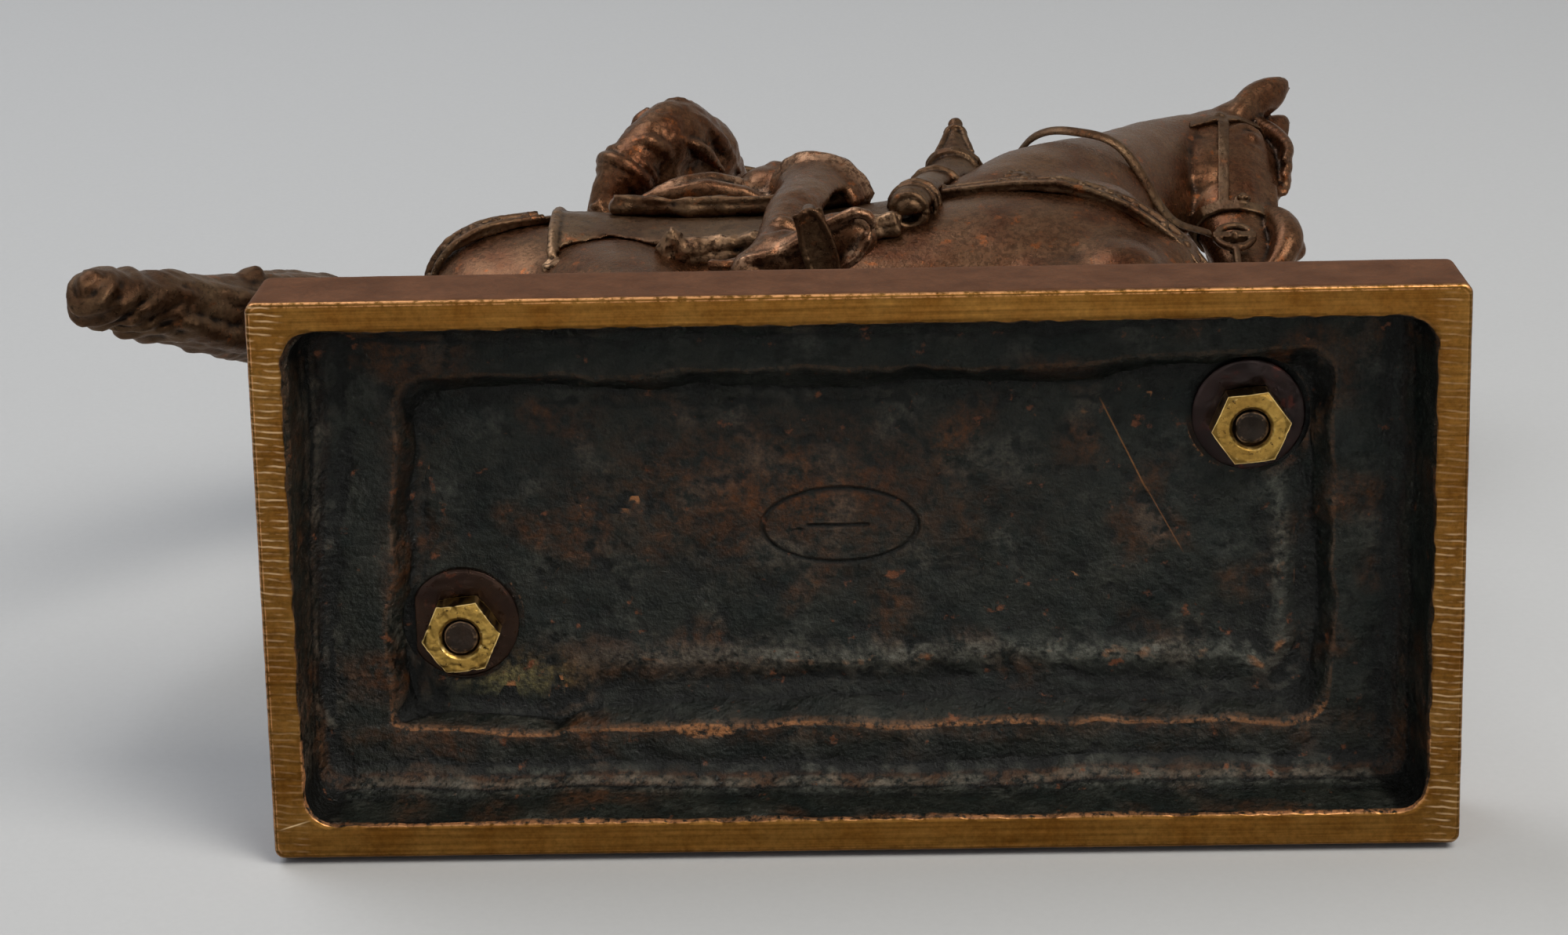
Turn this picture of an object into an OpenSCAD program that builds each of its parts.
// Small bronze horseman on a hollow cast plinth.
// +X is the way the horse faces, +Y its left side, +Z up; the origin is the
// middle of the plinth's ground rim, on the surface that it stands on.

/* [Plinth] */
// Length of the plinth along the horse
plinth_l = 187; // [175:1:230]
// Width of the plinth
plinth_w = 90; // [84:1:120]
// Height of the plinth's outer wall
plinth_h = 20; // [17:0.5:26]
// Rounding of the plinth's upright and top edges
edge_r = 1.5; // [0.6:0.1:3]
// Width of the ground rim that the plinth stands on
rim_w = 4.8; // [3.5:0.1:7]
// Thickness of the metal over the hollow
roof_t = 5; // [3.5:0.1:6.5]
// Height of the raised ground above the plinth's top
ground_rise = 4; // [2:0.5:7]
// Distance from the plinth's outer wall to the foot of the raised ground
ground_inset = 12; // [9:0.5:14]
// Width of the slope round the raised ground
ground_slope = 6; // [3:0.5:8]
// Thickness of the metal over the inner recess
recess_roof_t = 4.5; // [3.5:0.1:6]

/* [Fixings] */
// Diameter of the threaded studs in the hooves
stud_d = 6; // [4:0.1:6.4]
// Depth that each stud is screwed into its hoof
stud_in_hoof = 7; // [4:0.5:9]
// Clearance all round a stud
stud_gap = 0.05; // [0.02:0.01:0.1]
// Place of the hind stud along the plinth
hind_stud_x = -64; // [-66:0.5:-62]
// Place of the hind stud across the plinth
hind_stud_y = 13; // [11:0.5:15]
// Place of the fore stud along the plinth
fore_stud_x = 61.5; // [59.5:0.5:63.5]
// Place of the fore stud across the plinth
fore_stud_y = -19.5; // [-21:0.5:-18]
// Width of the hexagon nuts across flats
nut_af = 11; // [10:0.1:12]
// Height of the hexagon nuts
nut_h = 5; // [3.5:0.1:6]
// Diameter of the washers
washer_d = 18; // [16:0.1:19]
// Thickness of the washers
washer_t = 1.5; // [1:0.1:2]
// Diameter of the hole in the washers
washer_bore = 8.8; // [8.6:0.1:9.6]
// How far the loose washers sit off their studs, across the plinth
washer_slip = 1.1; // [0:0.1:1.2]
// Distance from the hind washer's middle to its ground flat
washer_flat = 7.6; // [6.5:0.1:8]
// Length of stud that stands short of the nut's face
stud_short = 0.6; // [0.2:0.1:1.5]
// Diameter of the dowels between the castings
dowel_d = 2.6; // [2:0.1:3]
// Clearance round a dowel
dowel_gap = 0.05; // [0.02:0.01:0.1]

/* [Horse] */
// Height of the withers above the ground
withers_h = 130; // [124:1:136]
// Half width of the barrel
barrel_w = 23.5; // [21.5:0.5:25.5]
// Place of the horse's centre line across the plinth, at mid length
horse_y = -9; // [-10:0.5:-8]
// Thickness of the saddle cloth
cloth_t = 2; // [1.4:0.1:3]
// Thickness of the saddle over the cloth
saddle_t = 3; // [2.2:0.1:4]
// Thickness of the breast and rump straps
strap_t = 1.4; // [1:0.1:2.2]
// Width of the breast and rump straps
strap_w = 5; // [3.5:0.5:7]

/* [Rider] */
// Height of the rider's shoulders above the saddle
torso_h = 46; // [42:1:50]
// Half width of the rider's shoulders
shoulder_w = 17; // [15:0.5:19]
// Height of the rider's head from the collar to the crown
head_h = 25; // [23:0.5:27]
// Diameter of the hat's brim
brim_d = 33; // [28:1:38]
// Length of the sword's scabbard
sword_l = 82; // [70:1:90]
// Width of the reins
rein_w = 2.2; // [1.6:0.1:3]
// Width of a stirrup
stirrup_w = 15.4; // [15:0.2:17]

/* [Hidden] */

ground_z = plinth_h + ground_rise;
hoof_h = 10;
ledge_z = plinth_h - roof_t;
recess_z = ground_z - recess_roof_t;
recess_slope = 8;
pocket_gap = 0.8;
hollow_shift = -0.3;
hind_stud = [hind_stud_x, hind_stud_y];
fore_stud = [fore_stud_x, fore_stud_y];
washer_z = recess_z - washer_t;
nut_z = washer_z - nut_h;
bore_d = stud_d + 2*stud_gap;
stud_len = ground_z + stud_in_hoof - nut_z - stud_short;

bronze = "#6b4430";
dark_bronze = "#4e3224";
brass = "#b8944a";

// The horse's centre line runs a little to its right, and heights follow the withers.
function mid_y(x) = horse_y - 0.086*x;
function hz(h) = ground_z + withers_h*h/130;

// ---- lofts ---------------------------------------------------------------
// A section is [[x, y, z], half width, half depth]; ref is the axis that the width is square to.
function unit(v) = v/norm(v);
function curve(a, b, c, d, t) =
    0.5*((2*b) + (c - a)*t + (2*a - 5*b + 4*c - d)*t*t + (3*b - a - 3*c + d)*t*t*t);
function pick(s, i) = s[max(0, min(len(s) - 1, i))];
function between(s, i, t) = [for (k = [0:2]) curve(pick(s, i - 1)[k], pick(s, i)[k], pick(s, i + 1)[k],
                                                  pick(s, i + 2)[k], t)];
function smooth(s, steps) = [for (i = [0:len(s) - 2], k = [0:steps - 1]) between(s, i, k/steps),
                             s[len(s) - 1]];
function ring(s, i, ref, n) =
    let (t = unit(pick(s, i + 1)[0] - pick(s, i - 1)[0]), u = unit(cross(ref, t)), v = cross(t, u))
    [for (k = [0:n - 1]) s[i][0] + s[i][1]*cos(360*k/n)*u + s[i][2]*sin(360*k/n)*v];

module loft(sections, ref, n = 14, steps = 2) {
    s = smooth(sections, steps);
    last = len(s) - 1;
    polyhedron(
        points = [for (i = [0:last]) each ring(s, i, ref, n)],
        faces = [
            [for (k = [0:n - 1]) k],
            for (i = [0:last - 1], k = [0:n - 1])
                each [[i*n + k, (i + 1)*n + k, (i + 1)*n + (k + 1)%n],
                      [i*n + k, (i + 1)*n + (k + 1)%n, i*n + (k + 1)%n]],
            [for (k = [n - 1:-1:0]) last*n + k]
        ],
        convexity = 6);
}

// A sculpted casting: its lofts become one skin.
module casting() { resize([0, 0, 0]) children(); }

// ---- plinth --------------------------------------------------------------
module rounded_plate(l, w, r, sides = 48) {
    for (x = [-1, 1], y = [-1, 1]) translate([x*(l/2 - r), y*(w/2 - r)]) circle(r, $fn = sides);
    square([l - 2*r, w], center = true);
    square([l, w - 2*r], center = true);
}

module plinth_block() {
    l = plinth_l/2 - edge_r;
    w = plinth_w/2 - edge_r;
    linear_extrude(plinth_h - edge_r) rounded_plate(plinth_l, plinth_w, edge_r);
    linear_extrude(plinth_h) square([2*l, 2*w], center = true);
    translate([0, 0, plinth_h - edge_r]) {
        for (y = [-w, w]) translate([-l, y, 0]) rotate([0, 90, 0]) cylinder(r = edge_r, h = 2*l, $fn = 48);
        for (x = [-l, l]) translate([x, -w, 0]) rotate([-90, 0, 0]) cylinder(r = edge_r, h = 2*w, $fn = 48);
        for (x = [-l, l], y = [-w, w]) translate([x, y, 0]) sphere(r = edge_r, $fn = 48);
    }
}

module slab(l, w, z, r) { translate([0, 0, z]) linear_extrude(0.01) rounded_plate(l, w, r, 32); }

module raised_ground() {
    l = plinth_l - 2*ground_inset;
    w = plinth_w - 2*ground_inset;
    hull() {
        slab(l, w, plinth_h - 1, 6);
        slab(l, w, plinth_h, 6);
        slab(l - 1.2*ground_slope, w - 1.2*ground_slope, ground_z - 0.8, 5);
        slab(l - 2*ground_slope, w - 2*ground_slope, ground_z - 0.01, 4);
    }
}

module hollow() {
    l = plinth_l - 2*rim_w;
    w = plinth_w - 2*rim_w;
    recess_l = plinth_l - 2*(ground_inset + ground_slope) - 2;
    recess_w = plinth_w - 2*(ground_inset + ground_slope) + 4;
    translate([0, hollow_shift, 0]) {
        hull() {
            slab(l, w, -1, 5);
            slab(l - 3, w - 3, ledge_z, 4);
        }
        hull() {
            slab(recess_l, recess_w, ledge_z - 0.1, 5);
            slab(recess_l - recess_slope, recess_w - recess_slope, recess_z - 0.01, 6);
        }
    }
    for (p = [hind_stud, fore_stud])
        translate([p[0], p[1] - washer_slip, ledge_z - 0.1])
            cylinder(d = washer_d + 2*pocket_gap, h = recess_z - ledge_z + 0.1, $fn = 64);
}

module plinth() color(bronze)
    difference() {
        union() {
            plinth_block();
            raised_ground();
        }
        hollow();
        for (p = [hind_stud, fore_stud])
            translate([p[0], p[1], recess_z - 1]) cylinder(d = bore_d, h = recess_roof_t + 2, $fn = 48);
    }

// ---- fixings -------------------------------------------------------------
module stud(p) color(dark_bronze)
    translate([p[0], p[1], nut_z + stud_short]) cylinder(d = stud_d, h = stud_len, $fn = 48);

module washer(p, flat) color(dark_bronze)
    difference() {
        translate([p[0], p[1] - washer_slip, washer_z]) cylinder(d = washer_d, h = washer_t, $fn = 64);
        translate([p[0], p[1], washer_z - 1]) translate([0, -washer_slip, 0])
            cylinder(d = washer_bore, h = washer_t + 2, $fn = 48);
        if (flat)
            translate([p[0] - washer_flat - washer_d, p[1] - washer_d, washer_z - 1])
                cube([washer_d, 2*washer_d, washer_t + 2]);
    }

module hex_nut(p) color(brass)
    translate([p[0], p[1], nut_z]) difference() {
        rotate([0, 0, 24]) cylinder(d = nut_af/cos(30), h = nut_h, $fn = 6);
        translate([0, 0, -1]) cylinder(d = bore_d, h = nut_h + 2, $fn = 48);
    }

// ---- horse ---------------------------------------------------------------
// One run of sections serves the trunk, and grown, the cloth and the saddle on it. A fifth
// number marks an end, which moves out by the same growth.
function trunk_sections(grow) = [
    for (s = [[-79, 107, 9, 12, -1], [-77, 107, 18.5, 18], [-71.5, 106, 25, 24.5], [-62, 105, 26.5, 27],
              [-50, 103, 26.5, 28], [-36, 100, 24.5, 26.5], [-16, 97, barrel_w - 0.5, 28.5],
              [6, 96, barrel_w, 30], [24, 98, barrel_w + 1.5, 31], [40, 99, barrel_w + 1, 29],
              [52, 98, 20.5, 24], [59.5, 97, 14.5, 17], [62.5, 97, 8, 12, 1]])
        let (end = len(s) > 4 ? s[4] : 0)
        [[s[0] + end*grow, mid_y(s[0]), hz(s[1])], s[2] + grow, withers_h/130*s[3] + grow]];

module trunk(grow = 0) { loft(trunk_sections(grow), [0, 0, 1], 20); }

module neck()
    loft([[[25, mid_y(25) - 4, hz(108)], 20, 23], [[35, mid_y(35) - 7, hz(124)], 19, 22],
          [[46, mid_y(46) - 8.5, hz(140)], 15.5, 18.5], [[54, mid_y(54) - 10.5, hz(154)], 12.5, 15],
          [[61, mid_y(61) - 12.5, hz(166)], 9.8, 12], [[68, mid_y(68) - 14, hz(174)], 7, 9]],
         [0, 1, 0], 16);

module skull(grow = 0)
    loft([for (s = [[69, -31.5, 180, 4, 5], [70.5, -31, 177, 7.2, 9], [72, -28.5, 168, 8.6, 11.6],
                    [73, -24.5, 159, 8, 11], [74.5, -18.5, 147, 6.2, 8], [75.5, -13, 137, 5.6, 6.8],
                    [75.5, -10, 131, 5.6, 6.6], [75, -8, 127, 3.4, 4]])
              [[s[0], s[1], hz(s[2])], s[3] + grow, s[4] + grow]],
         [1, 0, 0], 14);

module horse_head() {
    skull();
    for (side = [-1, 1]) hull() {
        translate([74.5, -31.5 + 4.2*side, hz(176.5)]) scale([1, 0.8, 1]) sphere(3.8, $fn = 12);
        translate([81.5, -33.8 + 4.4*side, hz(181)]) scale([1, 0.7, 1]) sphere(3.6, $fn = 12);
        translate([88, -36.6 + 3.4*side, hz(186)]) sphere(1.1, $fn = 8);
    }
}

// Legs run from the trunk down to the fetlock; each hoof is a flared cone.
module hoof(p, tilt) {
    translate(p) rotate([0, tilt, 0]) hull() {
        linear_extrude(0.6) scale([1, 0.92]) circle(7.4, $fn = 18);
        translate([-1.6, 0, hoof_h - 1]) linear_extrude(1) scale([1, 0.95]) circle(5.4, $fn = 18);
    }
}

module right_foreleg() {
    x = fore_stud[0];
    y = fore_stud[1];
    loft([[[30, mid_y(34) - 11, hz(88)], 9, 14], [[38, mid_y(38) - 8.5, hz(72)], 7.4, 10.5],
          [[46, y, hz(57)], 5.6, 7.2], [[50, y, hz(47)], 5.6, 6.6], [[52.5, y, hz(40)], 4.2, 5],
          [[56, y, hz(26)], 3.4, 4], [[59, y, hz(15)], 4.6, 5.2], [[60.5, y, hz(9)], 5, 5.2]],
         [1, 0, 0], 12);
    hoof([x + 0.6, y, ground_z], 0);
}

module left_foreleg() {
    y = mid_y(50) + 13;
    loft([[[28, mid_y(34) + 9, hz(90)], 9, 14], [[40, mid_y(40) + 12, hz(80)], 7.4, 10.5],
          [[52, y, hz(74)], 5.8, 7], [[61, y, hz(70)], 5.6, 6.2], [[63, y, hz(62)], 4.4, 5],
          [[60, y, hz(48)], 3.4, 4], [[56, y, hz(37)], 4.5, 5], [[52, y, hz(30)], 4.6, 4.8]],
         [0.5, 0, 0.8], 12);
    hoof([46.5, y, hz(21.5)], 42);
}

module left_hindleg() {
    x = hind_stud[0];
    y = hind_stud[1];
    loft([[[-50, mid_y(-50) + 12, hz(108)], 12.5, 22], [[-51, mid_y(-50) + 15, hz(88)], 11, 17],
          [[-56, y, hz(72)], 8, 12], [[-66, y, hz(58)], 5.8, 8.4], [[-73, y, hz(47)], 5.2, 7],
          [[-72, y, hz(38)], 4.2, 5.4], [[-69, y, hz(25)], 3.8, 4.4], [[-66.5, y, hz(15)], 4.8, 5.4],
          [[-65, y, hz(9)], 5, 5.4]],
         [1, 0, 0], 12);
    hoof([x + 0.6, y, ground_z], 0);
}

module right_hindleg() {
    y = mid_y(-40) - 15;
    loft([[[-50, mid_y(-50) - 12, hz(108)], 12.5, 22], [[-43, mid_y(-45) - 15, hz(86)], 11, 16],
          [[-40, y, hz(70)], 8.4, 12], [[-47, y, hz(57)], 6, 8.4], [[-54, y, hz(47)], 5.2, 7],
          [[-51, y, hz(36)], 4.2, 5.2], [[-44, y, hz(23)], 3.8, 4.4], [[-39, y, hz(14)], 4.7, 5.2],
          [[-36, y, hz(10)], 4.8, 5]],
         [1, 0, 0], 12);
    hoof([-33.4, y, hz(1.9)], 14);
}

module horse_body() {
    trunk();
    neck();
    horse_head();
    right_foreleg();
    left_foreleg();
    left_hindleg();
    right_hindleg();
}

tail_root = [-77, mid_y(-77), hz(116)];
tail_slant = 70;
dowel_l = 12;

module tail_bore(gap) {
    translate(tail_root) rotate([0, -tail_slant, 0])
        translate([0, 0, -dowel_l/2]) cylinder(d = dowel_d + 2*gap, h = dowel_l, $fn = 32);
}

module rider_bore(gap) {
    translate([rider_x, mid_y(rider_x), seat_z - dowel_l/2 - saddle_t])
        cylinder(d = dowel_d + 2*gap, h = dowel_l + 2*saddle_t, $fn = 32);
}

module horse() color(bronze)
    difference() {
        casting() horse_body();
        tail_bore(dowel_gap);
        rider_bore(dowel_gap);
        bit_bore(dowel_gap);
        for (p = [hind_stud, fore_stud])
            translate([p[0], p[1], ground_z - 1]) cylinder(d = bore_d, h = stud_in_hoof + 1, $fn = 48);
    }

module tail() color(dark_bronze)
    difference() {
        casting() difference() {
            loft([[tail_root + [4, 0, -2], 5.2, 6], [tail_root + [-5, -1, 1.5], 6.6, 6.5],
                  for (s = [[-90, -9.5, 112, 8.2], [-99.5, -14.5, 99, 9], [-108.5, -18.5, 84, 8.2],
                            [-117, -22.5, 72, 6.9], [-124, -26.5, 62, 6.1], [-129.5, -29.5, 54, 5.6],
                            [-133, -30.6, 49.5, 4.8], [-134.8, -31.2, 47.5, 2.8]])
                      [[s[0], s[1], hz(s[2])], s[3], s[3]]],
                 [1, 0, 0], 14);
            horse_body();
        }
        tail_bore(dowel_gap);
    }

// ---- harness, cloth and saddle -------------------------------------------
function slab_size(x0, x1) = [x1 - x0, 3*barrel_w, 3*withers_h];

// A band of the trunk's own surface between two stations, down to a height.
module trunk_band(x0, x1, z, inner, outer) {
    difference() {
        intersection() {
            trunk(outer);
            translate([x0, mid_y(0) - 1.5*barrel_w, z]) cube(slab_size(x0, x1));
        }
        trunk(inner);
    }
}

cloth_x0 = -56;
cloth_x1 = 8;
strap_gap = 0.2;

module saddle_cloth() color(dark_bronze)
    casting() difference() {
        trunk_band(cloth_x0, cloth_x1, hz(84), 0, cloth_t);
        horse_body();
        rider_bore(dowel_gap);
    }

seat_z = hz(126) + cloth_t + saddle_t;
function below_seat(h) = seat_z - withers_h*h/130;
rider_x = -26;

module saddle_tree() {
    trunk_band(-46, 2, hz(104), cloth_t, cloth_t + saddle_t);
    for (bow = [[-45, 9], [0, 7]])
        hull() {
            translate([bow[0], mid_y(bow[0]), hz(124)]) rotate([0, 90, 0])
                cylinder(r = 15, h = 3.4, center = true, $fn = 24);
            translate([bow[0] + sign(bow[0] + 20)*1.5, mid_y(bow[0]), hz(124) + bow[1]]) rotate([0, 90, 0])
                cylinder(r = 12, h = 2.4, center = true, $fn = 24);
        }
}

module saddle() color(dark_bronze)
    casting() difference() {
        saddle_tree();
        trunk(cloth_t);
        neck();
        rider_bore(dowel_gap);
    }

// Places a strap's tilted ring round the trunk, its lower edge dipping to the front or rear.
module strap_ring(x, h, tilt, w) {
    translate([x, mid_y(x), hz(h)]) rotate([0, atan(tan(tilt)*130/withers_h), 0])
        translate([-w/2, -2*barrel_w, -1.5*withers_h])
        cube([w, 4*barrel_w, 3*withers_h]);
}

module studded_strap(x, h, tilt, keep_x0, keep_x1) {
    casting() difference() {
        intersection() {
            trunk(strap_t);
            strap_ring(x, h, tilt, strap_w);
            translate([keep_x0, -3*barrel_w, 0]) cube([keep_x1 - keep_x0, 6*barrel_w, 3*withers_h]);
        }
        horse_body();
    }
}

module breast_strap() color(bronze) studded_strap(40, 98, -70, cloth_x1 + strap_gap, 66);

module rump_strap() color(bronze)
    difference() {
        studded_strap(-60, 108, 70, -84, cloth_x0 - strap_gap);
        translate(tail_root) rotate([0, -tail_slant, 0]) cylinder(r = 9, h = 40, center = true, $fn = 24);
    }

// ---- rider ---------------------------------------------------------------
shoulder_z = seat_z + torso_h;
rider_y = mid_y(rider_x);
neck_top = [rider_x + 0.4, rider_y, shoulder_z + 6];

module torso()
    loft([[[rider_x, rider_y, seat_z - 8], 16, 14], [[rider_x, rider_y, seat_z + 3], 15.5, 13],
          [[rider_x + 1, rider_y, seat_z + 14], 12.6, 10],
          [[rider_x + 1.5, rider_y, seat_z + 28], 14.6, 11.5],
          [[rider_x + 1, rider_y, shoulder_z - 7], shoulder_w, 11],
          [[rider_x + 0.4, rider_y, shoulder_z], shoulder_w - 4, 8.5],
          [[rider_x + 0.4, rider_y, shoulder_z + 3], 6.4, 6.2], [neck_top, 5, 5]],
         [1, 0, 0], 14);

// The coat's skirts spread over the thighs and the saddle.
module coat_skirt()
    loft([[[rider_x - 2, rider_y, below_seat(20)], 31, 25],
          [[rider_x - 2, rider_y, below_seat(10)], 28.5, 23],
          [[rider_x - 1, rider_y, seat_z + 4], 20, 17], [[rider_x, rider_y, seat_z + 14], 13.4, 11]],
         [1, 0, 0], 18);

module rider_leg(side) {
    y = function (x, off) mid_y(x) + side*(barrel_w + off);
    loft([[[-26, y(-26, -12.5), below_seat(2)], 8, 10], [[-19, y(-19, -5), below_seat(3)], 8.8, 9],
          [[-10, y(-10, -0.5), below_seat(8)], 7.2, 8.4], [[-6, y(-6, 1), below_seat(17)], 6.6, 8],
          [[-7, y(-7, 2), below_seat(27)], 5.6, 7.2]],
         [0.5, 0, 0.6], 12);
    loft([[[-7, y(-7, 1), below_seat(17)], 7.6, 8.8], [[-7, y(-7, 1.5), below_seat(21)], 8, 9.2],
          [[-8, y(-8, 2.5), below_seat(28)], 6.2, 7.2], [[-11, y(-11, 3.5), below_seat(44)], 5, 5.8],
          [[-14, y(-14, 1.5), below_seat(60)], 3.8, 4.4], [[-15, y(-15, 0.5), below_seat(68)], 4.4, 5.4]],
         [1, 0, 0], 12);
    loft([[[-21, y(-21, -1), below_seat(69)], 3.2, 2.6], [[-17.5, y(-17, -0.5), below_seat(69)], 4.4, 4],
          [[-10.5, y(-10, 1.5), below_seat(70)], 4.4, 3], [[-2, y(-2, 4), below_seat(71)], 4.8, 2.4],
          [[0.6, y(0, 4.9), below_seat(71)], 4.2, 1.6]],
         [0, 0, 1], 12);
}

module rider_shape() {
    torso();
    coat_skirt();
    for (side = [-1, 1]) rider_leg(side);
}

module neck_bore(gap) {
    translate(neck_top - [0, 0, dowel_l/2]) cylinder(d = dowel_d + 2*gap, h = dowel_l, $fn = 32);
}

arm_joint = function (side) [rider_x, rider_y + side*(shoulder_w - 2), shoulder_z - 7];

module arm_bore(side, gap) {
    translate(arm_joint(side)) rotate([90, 0, 0])
        cylinder(d = dowel_d + 2*gap, h = dowel_l, center = true, $fn = 32);
}

module rider() color(bronze)
    difference() {
        casting() difference() {
            rider_shape();
            trunk(cloth_t + saddle_t);
            saddle_tree();
            trunk_band(cloth_x0, cloth_x1, hz(84), 0, cloth_t);
            trunk();
        }
        rider_bore(dowel_gap);
        neck_bore(dowel_gap);
        for (side = [-1, 1]) arm_bore(side, dowel_gap);
    }

module right_arm_shape()
    loft([for (s = [[0, 11, 4.5, 5, 5], [-1.5, 17.5, 7, 7, 6.8], [-5, 26, 13, 7.2, 6.6],
                    [-8.4, 32.2, 21, 6.4, 6.2], [-12.4, 32.2, 28, 5.8, 5.6], [-18, 27.5, 34.5, 5.4, 5],
                    [-21.8, 22.5, 37, 4.6, 4], [-22, 17.5, 38.5, 4.6, 4.2], [-20.5, 14, 39.5, 2.8, 2.8]])
              [[rider_x + s[0], rider_y - s[1], shoulder_z - s[2]], s[3], s[4]]],
         [1, 0, 0], 12);

module right_arm() color(bronze)
    difference() {
        casting() difference() {
            right_arm_shape();
            rider_shape();
        }
        arm_bore(-1, dowel_gap);
    }

bridle_hand = [rider_x + 27, rider_y + 2, seat_z + 16];

module left_arm_shape()
    loft([for (s = [[0, 11, 4.5, 5, 5], [1, 17.5, 7.5, 7, 6.8], [3, 21.5, 16, 6.6, 6.4],
                    [7, 22, 25, 5.8, 6], [14, 17, 29, 5.2, 5], [21, 9, 30, 5, 4.4]])
              [[rider_x + s[0], rider_y + s[1], shoulder_z - s[2]], s[3], s[4]],
          [bridle_hand, 4.4, 4.2], [bridle_hand + [2.6, -2, 0], 2.6, 2.6]],
         [0, 0, 1], 12);

module left_arm() color(bronze)
    difference() {
        casting() difference() {
            left_arm_shape();
            rider_shape();
        }
        arm_bore(1, dowel_gap);
    }

module arm_dowels() color(dark_bronze) for (side = [-1, 1]) arm_bore(side, 0);

head_z = neck_top[2];
head_r = head_h*0.3;

// Face and crown, then the nose, then the hair down to the collar.
module head_shape() {
    loft([for (s = [[0, 0, 0.61, 0.64], [0.6, 0.12, 0.61, 0.69], [1.4, 0.28, 0.78, 0.95],
                    [1.4, 0.5, 0.96, 1.2], [0.8, 0.72, 1.02, 1.26], [0, 0.9, 0.8, 1.02], [-0.2, 1, 0.3, 0.4]])
              [neck_top + [s[0], 0, s[1]*head_h], s[2]*head_r, s[3]*head_r]],
         [1, 0, 0], 14);
    hull() {
        translate(neck_top + [head_r*1.05, 0, head_h*0.58]) sphere(0.9, $fn = 8);
        translate(neck_top + [head_r*1.3, 0, head_h*0.42]) sphere(1.3, $fn = 8);
    }
    loft([[neck_top + [-4.4, 0, 0.4], 5.4, 2.6], [neck_top + [-4.4, 0, head_h*0.3], 7.4, 4.6],
          [neck_top + [-2.6, 0, head_h*0.55], 8.2, 6.4], [neck_top + [-1.4, 0, head_h*0.75], 7, 6.4]],
         [1, 0, 0], 12);
}

module rider_head() color(bronze)
    difference() {
        casting() difference() {
            head_shape();
            translate(neck_top - [10, 10, 10]) cube([20, 20, 10]);
        }
        neck_bore(dowel_gap);
    }

module hat() color(dark_bronze)
    casting() difference() {
        translate(neck_top + [0, 0, head_h*0.72]) rotate([0, 4, 0]) rotate_extrude($fn = 28)
            polygon([[0, 0], [brim_d/2 - 1, 0.6], [brim_d/2, 1.4], [brim_d/2 - 1, 2.2], [9.4, 1.8],
                     [8.2, 8.6], [6.6, 10.2], [0, 10.8]]);
        head_shape();
    }

// ---- small pieces --------------------------------------------------------
module holsters() color(dark_bronze)
    casting() for (side = [-1, 1])
        difference() {
            loft([for (s = [[19.4, 6.6, 146, 1.4], [19.3, 4.8, 143.5, 1.9], [19, -0.6, 137, 4.8],
                            [17.6, -2.4, 128, 5.2], [14, -0.6, 113, 4.8], [10.8, 1.5, 97, 4],
                            [9.8, 2, 91, 4.2], [9.4, 2, 87, 2]])
                      [[s[0], mid_y(s[0]) + side*(barrel_w + s[1]), hz(s[2])], s[3], s[3]]],
                 [1, 0, 0], 12);
            trunk(max(strap_t, cloth_t));
            neck();
            rider_shape();
            saddle_tree();
        }

// The curb bit's mouthpiece runs through the mouth and carries a ring and a shank at each side.
bit_d = 1.6;
bit_out = 8.2;
bit = [72.5, -13, hz(137)];
head_lean = 26;

module bit_bore(gap) {
    translate(bit) rotate([90 + head_lean, 0, 0])
        cylinder(d = bit_d + 2*gap, h = 2*bit_out, center = true, $fn = 32);
}

module curb_bit() color(dark_bronze) {
    bit_bore(0);
    for (side = [-1, 1])
        translate(bit) rotate([90 + head_lean, 0, 0]) translate([0, 0, -side*bit_out]) {
            rotate_extrude($fn = 24) translate([3.4, 0]) circle(bit_d/2, $fn = 10);
            translate([-3.4 - bit_d/2, -bit_d/2, -bit_d/2]) cube([6.8 + bit_d, bit_d, bit_d]);
            translate([0, -10, 0]) rotate([-90, 0, 0]) cylinder(d = bit_d, h = 7, $fn = 12);
        }
}

// Noseband, browband and the two cheek straps lie on the skull.
module headstall() color(dark_bronze)
    casting() difference() {
        intersection() {
            skull(0.9);
            union() {
                translate([75, -18, hz(147)]) rotate([head_lean, 8, 0]) cube([40, 40, 2.4], center = true);
                translate([71.5, -29.5, hz(171)]) rotate([head_lean, -16, 0])
                    cube([40, 40, 2.2], center = true);
                translate([72.6, -24.5, hz(159)]) rotate([head_lean, 5, 0])
                    cube([2.2, 40, withers_h*26/130], center = true);
            }
        }
        horse_body();
    }

module reins() color(dark_bronze)
    for (side = [-1, 1])
        loft([[bit + [-4.6, side*(bit_out + 0.4)*cos(head_lean), 1.5 + side*bit_out*sin(head_lean) + 0.2],
               0.5, rein_w/2],
              [[58, mid_y(58) - 4 + side*(barrel_w - 5), hz(131)], 0.5, rein_w/2],
              [[42, mid_y(42) - 6 + side*(barrel_w - 1), hz(132)], 0.5, rein_w/2],
              [[28, mid_y(28) - 4 + side*(barrel_w - 3), hz(140)], 0.5, rein_w/2],
              [bridle_hand + [6, -2 + side*2, -2], 0.5, rein_w/2]],
             [0, 0, 1], 6, 4);

tread_z = below_seat(74.6);
tread_t = 1.2;
tread_leg = 2.6;
stirrup_off = barrel_w + 3;
stirrup_x = -6.5;
module at_stirrup(side)
    translate([stirrup_x, mid_y(stirrup_x) + side*stirrup_off, tread_z])
        rotate([0, 0, 90 + side*16]) children();

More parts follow.
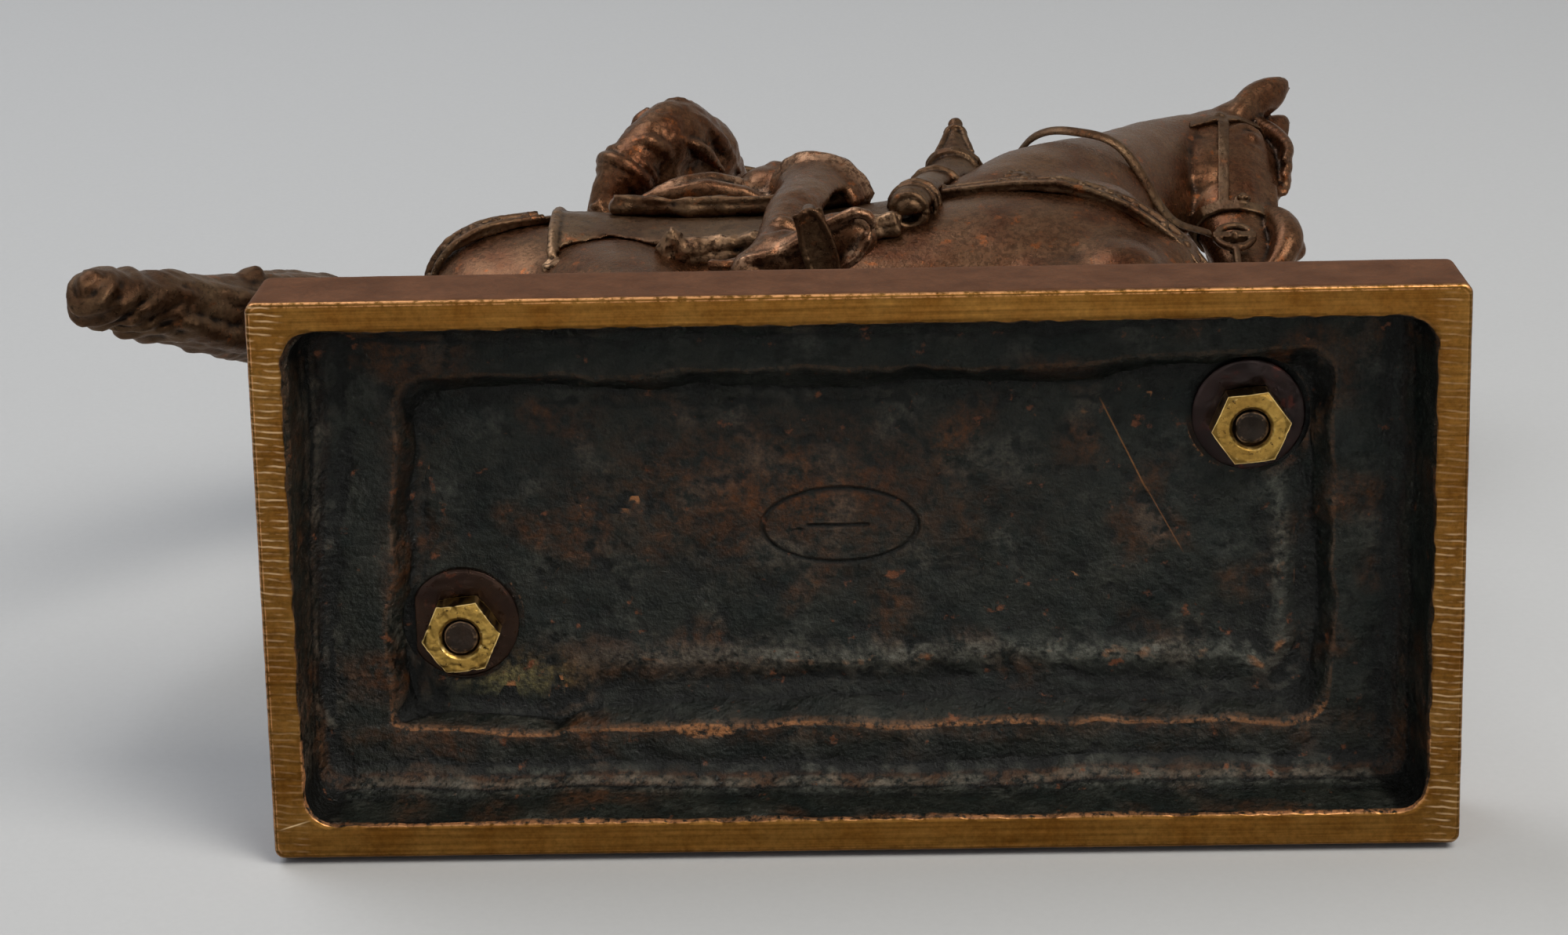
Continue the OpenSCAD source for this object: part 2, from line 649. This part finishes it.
module stirrups() color(dark_bronze)
    for (side = [-1, 1]) at_stirrup(side) {
        translate([-stirrup_w/2, -2.6, 0]) cube([stirrup_w, 5.2, tread_t]);
        for (x = [-1, 1]) translate([x*(stirrup_w/2 - 0.8), 0, 0])
            cylinder(r = 0.8, h = tread_t + tread_leg, $fn = 10);
        translate([0, 0, tread_t + tread_leg]) rotate([90, 0, 0])
            rotate_extrude(angle = 180, $fn = 32) translate([stirrup_w/2 - 0.8, 0]) circle(0.8, $fn = 10);
    }

// Each leather hangs from under the boot's cuff to the top of its stirrup.
module stirrup_leathers() color(dark_bronze)
    casting() for (side = [-1, 1])
        difference() {
            at_stirrup(side)
                translate([-1.8, -0.5, tread_t + tread_leg + stirrup_w/2 + 0.1]) cube([3.6, 1, 32]);
            rider_shape();
            trunk(cloth_t);
        }

// The sword hangs from the waist by two straps, its scabbard clear of the horse's flank.
sword_grip = [rider_x - 2, rider_y + barrel_w + 8.5, seat_z + 2];

module sword_hangers() color(dark_bronze)
    casting() for (run = [[-1, 3], [-8, 14]])
        difference() {
            loft([[[rider_x + run[0], rider_y + 10, seat_z + 14], 0.5, 1.5],
                  [[rider_x + (run[0] - run[1])/2 - 1, rider_y + 22, seat_z + 9.5], 0.5, 1.5],
                  [sword_grip + [-0.88*run[1], -2.2, 1 - 0.47*run[1]], 0.5, 1.5]],
                 [0, 0, 1], 6);
            rider_shape();
            sword();
        }

module sword() color(dark_bronze)
    translate(sword_grip) rotate([0, -118, -1]) {
        cylinder(d1 = 4.2, d2 = 2.6, h = sword_l, $fn = 24);
        translate([0, 0, -1.6]) cylinder(d = 9, h = 1.6, $fn = 24);
        translate([0, 0, -11.6]) cylinder(d = 3, h = 10, $fn = 24);
        translate([0, 0, -13.4]) sphere(r = 2.8, $fn = 24);
    }

plinth();
stud(hind_stud);
stud(fore_stud);
washer(hind_stud, true);  // hind_washer
washer(fore_stud, false);  // fore_washer
for (p = [hind_stud, fore_stud]) hex_nut(p);  // hex_nuts
horse();
tail();
color(dark_bronze) tail_bore(0);  // tail_dowel
breast_strap();
rump_strap();
saddle_cloth();
saddle();
rider();
color(dark_bronze) rider_bore(0);  // rider_dowel
right_arm();
left_arm();
arm_dowels();
rider_head();
color(dark_bronze) neck_bore(0);  // neck_dowel
hat();
holsters();
headstall();
curb_bit();
reins();
stirrup_leathers();
stirrups();
sword();
sword_hangers();
